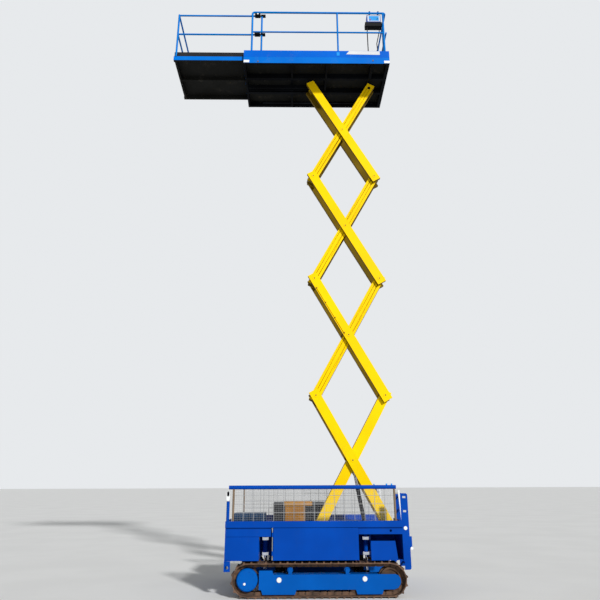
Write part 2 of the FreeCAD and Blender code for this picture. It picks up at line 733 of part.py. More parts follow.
def platform_slides():
    """Channel on the middle plane under the platform, which rests on the roller of the last arm."""
    wide = S.slide_wide
    roof = top_z + S.guide_roller + S.run_gap
    left, right = S.floor_left + 40, S.guide_right + 150
    pieces = [block("Slide_roof", (left, right), (-wide, wide), (roof, roof + S.guide_thick)),
              block("Slide_spine", (left, right), (-25, 25), (roof + S.guide_thick, tip_clear))]
    for tag, side in SIDES:
        pieces.append(block("Slide_lip_" + tag, (left, right), across(side, wide - 6, wide),
                            (top_z + S.pin_radius + 5.5, roof)))
    node("platform_slides", fused("Platform_slides", pieces))


def base_brackets():
    """Bored plates on the trench walls that hold the fixed lower pin, and the cylinder foot."""
    pieces = []
    for tag, side in SIDES:
        plate = block("Base_plate_" + tag, (S.hinge_x - 78, S.body_right),
                      across(side, arm_out + 6, S.trench_half), (S.hinge_z - 90, deck_z))
        pieces.append(plate)
    bore = across_bar("Base_bore", S.hinge_x, (-S.trench_half - 5, S.trench_half + 5), S.hinge_z,
                      S.pin_radius + S.pin_fit)
    plates = cut("Base_plates", fused("Base_plate_pair", pieces), [bore])
    cheeks = []
    for tag, side in SIDES:
        cheeks.append(side_plate("Foot_cheek_" + tag, across(side, 38, 50), [
            (S.foot_x - 110, S.body_low + S.wall), (S.foot_x + 110, S.body_low + S.wall),
            (S.foot_x + 40, S.foot_z + 30), (S.foot_x - 40, S.foot_z + 30)]))
    cheeks.append(across_bar("Foot_pin", S.foot_x, (-50, 50), S.foot_z, 20))
    node("base_brackets", fused("Base_brackets", [plates, fused("Foot_bracket", cheeks)]))


def place_arm(arm, stage, turn):
    """Put an arm made along X about its centre pin where its stage has it."""
    arm.Placement = Placement(Vector(), Rotation(Vector(0, turn, 0), S.raised.number))
    bind_place(arm, cross_x, 0, S.hinge_z + stage_rise * (stage - 0.5))
    bind(arm, "Placement.Rotation.Angle", S.raised)


def outer_arm(stage):
    """Two outer tubes with end pins right across and stub pins at the crossing."""
    half = S.arm_long / 2
    tall = (-S.arm_deep / 2, S.arm_deep / 2)
    pieces = []
    for name, side in SIDES:
        tag = "%d_%s" % (stage, name)
        pieces.append(block("Outer_tube_" + tag, (-half - S.arm_end, half + S.arm_end),
                            across(side, outer_in, arm_out), tall))
        pieces.append(across_bar("Outer_stub_" + tag, 0,
                                 across(side, S.inner_in + 1, arm_out), 0, S.pin_radius))
    for tag, place in (("low", half), ("high", -half)):
        reach = S.trench_half if (tag, stage) == ("low", 1) else arm_out
        pieces.append(across_bar("Outer_pin_%s_%d" % (tag, stage), place, (-reach, reach), 0, S.pin_radius))
    if stage == STAGE_COUNT:
        wide = S.slide_wide - 6 - S.run_gap
        pieces.append(across_bar("Top_roller", -half, (-wide, wide), 0, S.guide_roller))
    arm = fused("Outer_arm_%d" % stage, pieces)
    place_arm(arm, stage, 1)
    node("outer_arm_%d" % stage, arm)


def end_rollers(name, place):
    """Rollers on the pin of a sliding arm end, inside the channel rails."""
    pieces = []
    for tag, side in SIDES:
        y = across(side, arm_out, S.trench_half - 6 - S.run_gap)
        pieces.append(across_bar("%s_axle_%s" % (name, tag), place, y, 0, 25))
        y = across(side, arm_out + 6 + S.run_gap, S.trench_half - 6 - S.run_gap)
        pieces.append(across_bar("%s_roller_%s" % (name, tag), place, y, 0, S.guide_roller))
    return pieces


def inner_arm(stage):
    """Two inner tubes tied together, bored for the pins of the outer arms."""
    half = S.arm_long / 2
    tall = (-S.arm_deep / 2, S.arm_deep / 2)
    pieces = []
    tools = []
    for name, side in SIDES:
        tag = "%d_%s" % (stage, name)
        pieces.append(block("Inner_tube_" + tag, (-half - S.arm_end, half + S.arm_end),
                            across(side, S.inner_in, inner_out), tall))
    for tag, place in (("low", -half * 0.72), ("high", half * 0.72)):
        pieces.append(block("Inner_tie_%s_%d" % (tag, stage), (place - 50, place + 50),
                            (-S.inner_in, S.inner_in), (-S.arm_deep / 2 + 10, S.arm_deep / 2 - 10)))
    bores = [("middle", 0 * half), ("high", half)]
    if stage > 1:
        bores.append(("low", -half))
    for tag, place in bores:
        tools.append(across_bar("Inner_bore_%s_%d" % (tag, stage), place, (-arm_out, arm_out), 0,
                                S.pin_radius + S.pin_fit))
    arm = cut("Inner_tubes_%d" % stage, fused("Inner_solid_%d" % stage, pieces), tools)
    if stage == 1:
        extra = end_rollers("Base", -half)
        extra.append(across_bar("Base_axle", -half, (-arm_out, arm_out), 0, 25))
        for name, side in SIDES:
            boss = across_bar("Eye_boss_" + name, 0, across(side, 35, S.inner_in + 1), 0, 40)
            extra.append(boss)
        arm = fused("Inner_arm_base", [arm] + extra)
    place_arm(arm, stage, -1)
    node("inner_arm_%d" % stage, arm)


def lift_cylinder():
    """Barrel on the foot bracket and rod with an open eye between the inner arm's bosses."""
    lean = slope_angle(S.foot_x - cross_x, S.hinge_z + stage_rise / 2 - S.foot_z)
    reach_x = S.foot_x - cross_x
    reach_z = S.hinge_z + stage_rise / 2 - S.foot_z
    whole = math.hypot(reach_x.number, reach_z.number)
    eye = Size("sqrt(%s ^ 2 + %s ^ 2)" % (reach_x.text, reach_z.text), whole)
    foot_wide = (-33, 33)
    tube = round_bar("Lift_tube", "z", (0, 0, 30), S.barrel_long - 30, S.barrel_radius)
    gland = round_bar("Lift_gland", "z", (0, 0, S.barrel_long - 45), 45, S.barrel_radius + 2)
    foot = across_bar("Lift_foot", 0, foot_wide, 0, 38)
    bore = round_bar("Lift_bore", "z", (0, 0, 200), S.barrel_long, S.rod_radius + S.pin_fit)
    foot_bore = across_bar("Lift_foot_bore", 0, (-50, 50), 0, 20 + S.pin_fit)
    barrel = cut("Lift_barrel", fused("Lift_barrel_solid", [tube, gland, foot]), [bore, foot_bore])
    rod = round_bar("Lift_rod_bar", "z", (0, 0, 520), eye - 520, S.rod_radius)
    ring = across_bar("Lift_eye", 0, (-29, 29), eye, 42)
    hole = across_bar("Lift_eye_hole", 0, (-35, 35), eye, 22)
    stem = cut("Lift_rod", fused("Lift_rod_solid", [rod, ring]), [hole])
    for thing, label in ((barrel, "lift_barrel"), (stem, "lift_rod")):
        thing.Placement = Placement(Vector(), Rotation(Vector(0, -1, 0), lean.number))
        bind_place(thing, S.foot_x, 0, S.foot_z)
        bind(thing, "Placement.Rotation.Angle", lean)
        node(label, thing)


def platform_frame():
    """Channel side beams, end beams and ribs, notched over the last arms' tips; troughs carry the floor."""
    pieces = []
    left, right = S.floor_left, S.floor_right
    low = platform_z
    reach = S.floor_half - S.edge_wide
    spine = (arm_out + 6, S.trench_half + 25)
    wall = S.edge_wall
    web = S.floor_half - wall
    inside = (left + 40, end_beam)
    for name, side in SIDES:
        beam = block("Edge_" + name, (left, right), across(side, reach, S.floor_half), (low, edge_z))
        hollow = block("Edge_hollow_" + name, inside,
                       across(side, reach - 1, web), (low + wall, edge_z - wall))
        pieces.append(cut("Edge_channel_" + name, beam, [hollow]))
        beam = block("Rib_long_" + name, inside, across(side, *spine), (low, floor_z))
        hollow = block("Rib_hollow_" + name, inside, across(side, spine[0] + wall, spine[1] - wall),
                       (low + wall, floor_z + 1))
        pieces.append(cut("Rib_trough_" + name, beam, [hollow]))
    pieces.append(block("Rib_left", (left, left + 40), (-reach, reach), (low, floor_z)))
    pieces.append(block("Rib_right", (end_beam, right), (-reach, reach), (low, floor_z + S.deck_thick)))
    for tag, start, long in (("one", 195, 40), ("two", 895, 40), ("three", S.hinge_x - 28, 56)):
        pieces.append(block("Rib_%s_middle" % tag, (start, start + long), (-spine[0], spine[0]),
                            (tip_clear, floor_z)))
        for name, side in SIDES:
            pieces.append(block("Rib_%s_%s" % (tag, name), (start, start + long),
                                across(side, spine[1], web), (low, floor_z)))
    node("platform_frame", fused("Platform_frame", pieces))
    node("deck_floor",
         block("Deck_floor", (left, end_beam), (-reach, reach), (floor_z, floor_z + S.deck_thick)))


def top_brackets():
    """Plates between the last inner arm's tubes that carry its pin."""
    pieces = []
    for tag, side in SIDES:
        pieces.append(block("Top_plate_" + tag, (S.hinge_x - 50, S.hinge_x + 50),
                            across(side, S.slide_wide / 2, S.slide_wide), (top_z - 48, tip_clear)))
    pieces.append(across_bar("Top_pin", S.hinge_x, (-inner_out, inner_out), top_z, S.pin_radius))
    node("top_brackets", fused("Top_brackets", pieces))


def toe_boards():
    """Upright boards along both sides and beside the gate."""
    pieces = []
    inside = S.floor_half - S.edge_wide
    x = (S.floor_right - S.toe_thick, S.floor_right)
    for name, side in SIDES:
        pieces.append(block("Toe_" + name, (S.floor_left, S.floor_right),
                            across(side, S.floor_half - S.toe_thick, S.floor_half), (edge_z, toe_z)))
        pieces.append(block("Toe_corner_" + name, x, across(side, inside, S.floor_half), (edge_z, toe_z)))
        pieces.append(block("Toe_end_" + name, x, across(side, S.gate_half + 30, inside),
                            (floor_z + S.deck_thick, toe_z)))
    node("toe_boards", fused("Toe_boards", pieces))


def main_rails(name, side):
    """Bent top rail from the left post round the right corner to the gate post."""
    y = rail_line * side
    gate = S.gate_half * side
    foot = edge_z
    pieces = [bent_tube("Top_rail_" + name, [
        (S.post_left, y, foot), (S.post_left, y, rail_z), (S.end_rail_x, y, rail_z),
        (S.end_rail_x, gate, rail_z), (S.end_rail_x, gate, floor_z + S.deck_thick)], S.rail_radius, S.bend)]
    slim = S.slim_radius
    for tag, place in (("middle", S.post_middle), ("right", S.post_right)):
        pieces.append(round_bar("Post_%s_%s" % (tag, name), "z", (place, y, foot), rail_z - foot, slim + 2))
    pieces.append(round_bar("Mid_rail_" + name, "x", (S.post_left, y, mid_z),
                            S.post_right - S.post_left, slim))
    span = (gate, y) if side > 0 else (y, gate)
    pieces.append(across_bar("Mid_end_" + name, S.end_rail_x, span, mid_z, slim))
    foot_y = across(side, rail_line - S.rail_radius, rail_line + S.rail_radius)
    pieces.append(block("Post_foot_" + name, (S.post_middle - 45, S.post_middle + 45), foot_y,
                        (foot, foot + 60)))
    node("main_rails_" + name, fused("Main_rails_" + name, pieces))


def slider_blocks():
    """Black blocks on the left posts that the extension's rails run through."""
    blocks = []
    bores = []
    for name, side in SIDES:
        for tag, height in (("top", slide_rail_z), ("mid", slide_mid_z)):
            blocks.append(block("Slider_%s_%s" % (tag, name), (S.post_left + S.bend + 2, S.post_left + 160),
                                across(side, slide_rail_line - 26, rail_line + 5),
                                (height - 26, height + 26)))
            bores.append(round_bar("Slider_bore_%s_%s" % (tag, name), "x",
                                   (S.post_left, slide_rail_line * side, height), 250, S.slide_radius + 0.3))
    for name, side in SIDES:
        for tag, height in (("top", rail_z), ("mid", mid_z)):
            radius = S.rail_radius if tag == "top" else S.slim_radius
            bores.append(round_bar("Slider_notch_%s_%s" % (tag, name), "x",
                                   (S.post_left, rail_line * side, height), 250, radius + 0.3))
    node("slider_blocks", cut("Slider_blocks", fused("Slider_solids", blocks), bores))


def gate():
    """Entry gate across the right end, hung on the far gate post."""
    y_free, y_hinge = -(S.gate_half - 45), S.gate_half - 45
    low, high = floor_z + S.deck_thick + 30, rail_z - 25
    x = S.end_rail_x
    pieces = [bent_tube("Gate_loop", [(x, y_hinge, low), (x, y_hinge, high),
                                      (x, y_free, high), (x, y_free, low)],
                        S.slim_radius, S.bend)]
    pieces.append(across_bar("Gate_mid", x, (y_free, y_hinge), mid_z, S.slim_radius - 2))
    pieces.append(block("Gate_kick", (x - 3, x + 3), (y_free, y_hinge), (low, toe_z)))
    for index, height in enumerate((low + 220, high - 220)):
        pieces.append(round_bar("Gate_sleeve_%d" % index, "z",
                                (x, S.gate_half, height), 60, S.rail_radius + 7))
        pieces.append(block("Gate_lug_%d" % index, (x - 8, x + 8),
                            (y_hinge, S.gate_half), (height, height + 60)))
    bore = round_bar("Gate_bore", "z", (x, S.gate_half, low - 50),
                     high - low + 100, S.rail_radius + S.pin_fit)
    node("gate", cut("Gate", fused("Gate_solid", pieces), [bore]))


def extension_deck():
    """Sliding deck: plate on a shallow frame that runs over the main floor."""
    left, right = S.slide_left, S.slide_right
    pieces = [block("Slide_plate", (left, right), (-slide_side, slide_side),
                    (slide_z - S.deck_thick, slide_z))]
    for name, side in SIDES:
        pieces.append(block("Slide_edge_" + name, (left, right), across(side, slide_side - 40, slide_side),
                            (slide_foot, slide_z - S.deck_thick)))
    pieces.append(block("Slide_rib", (left, right), (-20, 20), (slide_foot, slide_z - S.deck_thick)))
    for tag, start, end in (("left", left, left + 40), ("right", right - 40, right)):
        pieces.append(block("Slide_end_" + tag, (start, end), (-slide_side, slide_side),
                            (slide_foot, slide_z - S.deck_thick)))
    for name, side in SIDES:
        pieces.append(block("Slide_bumper_" + name, (left - 15, left),
                            across(side, slide_side - 60, slide_side), (slide_foot, slide_z)))
    node("extension_deck", fused("Extension_deck", pieces))


def extension_rails():
    """Rails that ride with the extension deck: two sides and the far left end."""
    pieces = []
    x_end, x_in = S.slide_left + 30, S.slide_right - 17
    y = slide_rail_line
    radius = S.slide_radius
    for name, side in SIDES:
        for tag, height in (("top", slide_rail_z), ("mid", slide_mid_z)):
            pieces.append(round_bar("Slide_%s_%s" % (tag, name), "x", (x_end, y * side, height),
                                    x_in - x_end, radius))
            pieces.append(block("Slide_block_%s_%s" % (tag, name), (x_in - 20, x_in + 75),
                                across(side, y - 22, y + 23), (height - 23, height + 23)))
        for tag, place, thick in (("end", x_end, radius + 2), ("inner", x_in, radius + 2)):
            pieces.append(round_bar("Slide_post_%s_%s" % (tag, name), "z", (place, y * side, slide_z),
                                    slide_rail_z - slide_z + radius, thick))
    for tag, height in (("top", slide_rail_z), ("mid", slide_mid_z)):
        pieces.append(across_bar("Slide_across_" + tag, x_end, (-y, y), height, radius))
    toe = (slide_z, slide_z + 100)
    pieces.append(block("Slide_toe_end", (S.slide_left, S.slide_left + 6), (-slide_side, slide_side), toe))
    for name, side in SIDES:
        pieces.append(block("Slide_toe_" + name, (S.slide_left, S.slide_right),
                            across(side, slide_side - 6, slide_side), toe))
    node("extension_rails", fused("Extension_rails", pieces))


def control_box():
    """Platform control box hung inside the near rail, on a dark base, with its pipe to the toe board."""
    left, right = 1760, 2045
    back, front = -(rail_line - S.rail_radius - S.run_gap), -(rail_line - 140)
    top = rail_z - S.rail_radius - 5
    # The pipe ends on the near toe board
    pipe_y = -(rail_line - 52)
    pipe_end = (left, -(S.floor_half - S.toe_thick), toe_z - 90)
    hook_top = rail_z + S.rail_radius + 6
    lip_low = rail_z + S.rail_radius + S.run_gap
    pieces = [block("Control_case", (left, right), (back, front), (top - 180, top)),
              block("Control_base", (left - 38, right + 20), (back, front), (top - 280, top - 180)),
              bent_tube("Control_pipe",
                        [(left, pipe_y, top - 280), (left, pipe_y, pipe_end[2]), pipe_end], 10, 30)]
    for index, place in enumerate((left + 40, right - 70)):
        pieces.append(block("Control_hook_%d" % index, (place, place + 30),
                            (back, back + 6), (top, hook_top)))
        pieces.append(block("Control_lip_%d" % index, (place, place + 30),
                            (back - S.rail_radius * 2 - 8, back + 6), (lip_low, hook_top)))
    node("control_box", fused("Control_box", pieces))


def control_cable():
    """Cable that leaves the control box downwards, bows out and comes back to the end beam."""
    top = rail_z - S.rail_radius - 285
    points = [(2010, -590, top), (2010, -590, top - 110), (1945, -590, top - 420), (1960, -590, top - 700),
              (2060, -590, floor_z + S.deck_thick + 60), (2128, -590, floor_z + S.deck_thick + 60),
              (2128, -590, floor_z + S.deck_thick)]
    node("control_cable", bent_tube("Control_cable", points, 9, 40))


def deck_equipment():
    """Power pack, ochre store box with its lid, and the valve chest on the chassis deck."""
    base = deck_z
    node("power_pack",
         block("Pack_case", (S.pack_left, S.pack_right),
               (girder_out + 48, rim_in - 75), (base, base + S.pack_tall)))
    node("valve_chest", block("Valve_chest", (-640, -175), across(-1, girder_out + 48, rim_in - 115),
                              (base, base + 182)))
    shell = 8
    body = block("Store_solid", (STORE_X, STORE_X + 300), (-STORE_OUT, -STORE_IN), (base, STORE_Z))
    inside = block("Store_inside", (STORE_X + shell, STORE_X + 300 - shell),
                   (-STORE_OUT + shell, -STORE_IN - shell), (base + shell, STORE_Z + 5))
    node("store_box", cut("Store_box", body, [inside]))
    node("oil_tank",
         block("Oil_tank", (150, 760), (girder_out + 48, rim_in - 115),
               (S.body_low + S.deck_thick, S.body_low + 380)))
    node("engine", block("Engine", (200, 900), across(-1, girder_out + 58, rim_in - 115),
                         (S.body_low + S.deck_thick, S.body_low + 400)))


STORE_X = S.store_x
STORE_IN = S.store_in
STORE_OUT = S.store_out
STORE_Z = S.store_z


def store_lid():
    """Lid of the store box, hinged along its inner edge."""
    x = (STORE_X - 16, STORE_X + 409)
    y_pin, z_pin = -(STORE_IN - 22), STORE_Z + 12
    leaf = block("Lid_leaf", x, (-STORE_OUT - 10, -STORE_IN), (STORE_Z + 0.3, STORE_Z + 55))
    strap = block("Lid_strap", (STORE_X + 60, STORE_X + 220), (-STORE_IN - 5, y_pin), (z_pin - 5, z_pin + 5))
    knuckle = round_bar("Lid_knuckle", "x", (STORE_X + 60, y_pin, z_pin), 160, 11)
    bore = round_bar("Lid_bore", "x", (STORE_X, y_pin, z_pin), 300, 6 + S.pin_fit)
    node("store_lid", cut("Store_lid", fused("Lid_solid", [leaf, strap, knuckle]), [bore]))
    pieces = [round_bar("Lid_pin", "x", (STORE_X + 30, y_pin, z_pin), 220, 6)]
    for index, place in enumerate((30, 224)):
        pieces.append(round_bar("Lid_ear_%d" % index, "x", (STORE_X + place, y_pin, z_pin), 26, 10))
        pieces.append(block("Lid_web_%d" % index, (STORE_X + place, STORE_X + place + 26),
                            (-STORE_IN, y_pin + 4),
                            (STORE_Z - 60, z_pin - 6)))
    node("lid_hinge", fused("Lid_hinge", pieces))


def lamp_mast():
    """Post with an oval work lamp at the left end of the near rim."""
    x, y = S.body_left + 29, -guard_line
    foot = S.body_high + 273
    node("lamp_post", round_bar("Lamp_post", "z", (x, y, S.body_high), 273, 23))
    lamp = [block("Lamp_foot", (x - 12, x + 12), (y - 12, y + 12), (foot, foot + 20)),
            block("Lamp_middle", (x - 25, x + 25), (y - 30, y + 30), (foot + 31, foot + 119))]
    for index, height in enumerate((foot + 31, foot + 119)):
        lamp.append(across_bar("Lamp_end_%d" % index, x, (y - 30, y + 30), height, 25))
    node("work_lamp", fused("Work_lamp", lamp))


def tie_lugs():
    """Lashing plates: at the left end hung outside the tracks, at the right end on the girders."""
    pieces = []
    left, low = S.body_left, S.body_low - 137
    for name, side in SIDES:
        y = across(side, side_y - 16, side_y)
        pieces.append(side_plate("Lug_left_" + name, y, [
            (left, low), (left + 88, low), (left + 88, S.body_low), (left, S.body_low)],
            [(left + 43, low + 54, 22)]))
        pieces.append(block("Lug_end_" + name, (left, left + S.wall), across(side, 700, side_y - 16),
                            (low, S.body_low)))
        y = across(side, girder_out, girder_out + 16)
        start = S.body_right - 90
        pieces.append(side_plate("Lug_right_" + name, y, [
            (start, S.body_low - 95), (start + 90, S.body_low - 95), (start + 90, S.body_low),
            (start, S.body_low)], [(start + 45, S.body_low - 48, 22)]))
    node("tie_lugs", fused("Tie_lugs", pieces))


def corner_lamps():
    """Pale marker lamps on the ends of both platform side beams."""
    pieces = []
    for name, side in SIDES:
        for tag, start in (("left", S.floor_left + 4), ("right", S.floor_right - 114)):
            pieces.append(block("Marker_%s_%s" % (tag, name), (start, start + 110),
                                across(side, S.floor_half, S.floor_half + 12),
                                (platform_z + 8, platform_z + 63)))
    node("corner_lamps", fused("Corner_lamps", pieces))


for NAME, SIDE in SIDES:
    track(NAME, SIDE)
    track_frame(NAME, SIDE)
    sprocket(NAME, SIDE)
    idler(NAME, SIDE)
    rollers(NAME, SIDE)
    side_panels(NAME, SIDE)
    door(NAME, SIDE)
    mesh_guard(NAME, SIDE)
    main_rails(NAME, SIDE)
cross_beams()
level_cylinders()
chassis_frame()
door_pins()
ladder()
base_rails()
base_brackets()
for STAGE in range(1, STAGE_COUNT + 1):
    outer_arm(STAGE)
    inner_arm(STAGE)
lift_cylinder()
platform_slides()
top_brackets()
platform_frame()
toe_boards()
slider_blocks()
gate()
extension_deck()
extension_rails()
control_box()
control_cable()
deck_equipment()
store_lid()
lamp_mast()
tie_lugs()
corner_lamps()

doc.recompute()
for thing in doc.Objects:
    if "Invalid" in thing.State or "Error" in thing.State:
        raise RuntimeError("%s failed: %s" % (thing.Label, thing.State))

os.makedirs("parts", exist_ok=True)
for thing in finished:
    shape = thing.Shape
    if shape.isNull() or not shape.isValid() or not shape.Solids:
        raise RuntimeError("%s has no valid solid" % thing.Label)
    shape.exportStep(os.path.join("parts", thing.Label + ".step"))
    box = shape.BoundBox
    print("%-18s %2d solids %8.1f dm3  x %7.0f %7.0f  y %6.0f %6.0f  z %7.0f %7.0f" % (
        thing.Label, len(shape.Solids), shape.Volume / 1e6,
        box.XMin, box.XMax, box.YMin, box.YMax, box.ZMin, box.ZMax))
print(len(finished), "sub-parts")
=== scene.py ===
import bpy
import json
import math
from mathutils import Matrix, Vector


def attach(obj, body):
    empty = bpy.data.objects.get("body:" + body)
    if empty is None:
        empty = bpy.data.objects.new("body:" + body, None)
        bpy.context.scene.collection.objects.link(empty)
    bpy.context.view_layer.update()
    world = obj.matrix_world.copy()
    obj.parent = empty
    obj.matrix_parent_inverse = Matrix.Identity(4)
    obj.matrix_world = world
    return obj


# Looks for the tracked scissor lift: paint, small trim, camera, floor and light.
# Lengths in metres, in the frame of the CAD model: X along the machine, Y across it, Z up.

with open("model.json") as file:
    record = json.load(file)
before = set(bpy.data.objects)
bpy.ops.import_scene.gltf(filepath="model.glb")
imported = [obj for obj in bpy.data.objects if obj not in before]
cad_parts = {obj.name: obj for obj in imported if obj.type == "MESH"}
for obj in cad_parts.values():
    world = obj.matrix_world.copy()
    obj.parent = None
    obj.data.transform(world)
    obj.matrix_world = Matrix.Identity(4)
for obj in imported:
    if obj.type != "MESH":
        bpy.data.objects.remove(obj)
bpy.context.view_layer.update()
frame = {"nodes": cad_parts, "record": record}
nodes = frame["nodes"]
scene = bpy.context.scene
SIDES = (("near", -1), ("far", 1))
STAGES = 4


def placed(name, data):
    """A new object in the scene."""
    thing = bpy.data.objects.new(name, data)
    scene.collection.objects.link(thing)
    return thing


# Materials
DUST = (0.22, 0.19, 0.15)
RUST = (0.12, 0.055, 0.025)
STREAK_STRETCH = (1.0, 1.0, 0.5)


def shader_node(tree, kind, values):
    """A new shader node with these input values."""
    node = tree.nodes.new("ShaderNode" + kind)
    for name, value in values.items():
        node.inputs[name].default_value = value
    return node


def noise(tree, place, scale, detail, stretch=(1, 1, 1), distortion=0.0):
    mapping = shader_node(tree, "Mapping", {"Scale": stretch})
    tree.links.new(place, mapping.inputs["Vector"])
    texture = shader_node(tree, "TexNoise", {"Scale": scale, "Detail": detail, "Distortion": distortion})
    tree.links.new(mapping.outputs["Vector"], texture.inputs["Vector"])
    return texture.outputs["Fac"]


def ramp(tree, factor, low, high):
    """Stretch part of a factor's range to 0..1, with soft ends."""
    node = shader_node(tree, "MapRange", {"From Min": low, "From Max": high})
    node.interpolation_type = "SMOOTHSTEP"
    tree.links.new(factor, node.inputs["Value"])
    return node.outputs["Result"]


def scaled(tree, factor, low, high):
    """Bring a factor from 0..1 into another range."""
    node = shader_node(tree, "MapRange", {"To Min": low, "To Max": high})
    tree.links.new(factor, node.inputs["Value"])
    return node.outputs["Result"]


def product(tree, first, second):
    """One factor times another, or times a plain number."""
    node = tree.nodes.new("ShaderNodeMath")
    node.operation = "MULTIPLY"
    tree.links.new(first, node.inputs[0])
    if isinstance(second, float):
        node.inputs[1].default_value = second
    else:
        tree.links.new(second, node.inputs[1])
    return node.outputs["Value"]


def blended(tree, factor, first, second):
    """From the first colour to the second; each is a plain colour or another node's output."""
    node = tree.nodes.new("ShaderNodeMix")
    node.data_type = "RGBA"
    tree.links.new(factor, node.inputs["Factor"])
    for name, value in (("A", first), ("B", second)):
        socket = next(s for s in node.inputs if s.name == name and s.type == "RGBA")
        if isinstance(value, tuple):
            socket.default_value = (*value, 1.0)
        else:
            tree.links.new(value, socket)
    return next(s for s in node.outputs if s.type == "RGBA")


def finish_material(name, colour, shade, rough=(0.3, 0.5), dirt=DUST, dirty=0.25, metallic=0.0,
                    coat=0.0, grain=(300.0, 0.3), patch_scale=1.6, gloss=0.06, glow=0.0):
    """Paint or metal: two close shades in patches, dirt in soft streaks, uneven gloss and a fine grain."""
    material = bpy.data.materials.new(name)
    material.use_nodes = True
    tree = material.node_tree
    shader = tree.nodes["Principled BSDF"]
    shader.inputs["Metallic"].default_value = metallic
    shader.inputs["Coat Weight"].default_value = coat
    shader.inputs["Specular IOR Level"].default_value = gloss
    # A glow above zero makes the surface give off its own colour: painted light.
    shader.inputs["Emission Color"].default_value = (*colour, 1.0)
    shader.inputs["Emission Strength"].default_value = glow
    place = tree.nodes.new("ShaderNodeTexCoord").outputs["Object"]

    patches = ramp(tree, noise(tree, place, scale=patch_scale, detail=5.0), low=0.35, high=0.65)
    base = blended(tree, patches, colour, shade)
    streaks = noise(tree, place, scale=5.0, detail=8.0, stretch=STREAK_STRETCH, distortion=0.4)
    streaks = ramp(tree, streaks, low=0.52, high=0.78)
    specks = ramp(tree, noise(tree, place, scale=45.0, detail=6.0), low=0.45, high=0.7)
    mask = product(tree, product(tree, streaks, specks), float(dirty))
    tree.links.new(blended(tree, mask, base, dirt), shader.inputs["Base Color"])

    uneven = scaled(tree, noise(tree, place, scale=12.0, detail=5.0), *rough)
    tree.links.new(uneven, shader.inputs["Roughness"])
    grain_scale, grain_strength = grain
    bump = shader_node(tree, "Bump", {"Strength": grain_strength, "Distance": 0.001})
    tree.links.new(noise(tree, place, scale=grain_scale, detail=2.0), bump.inputs["Height"])
    tree.links.new(bump.outputs["Normal"], shader.inputs["Normal"])
    return material


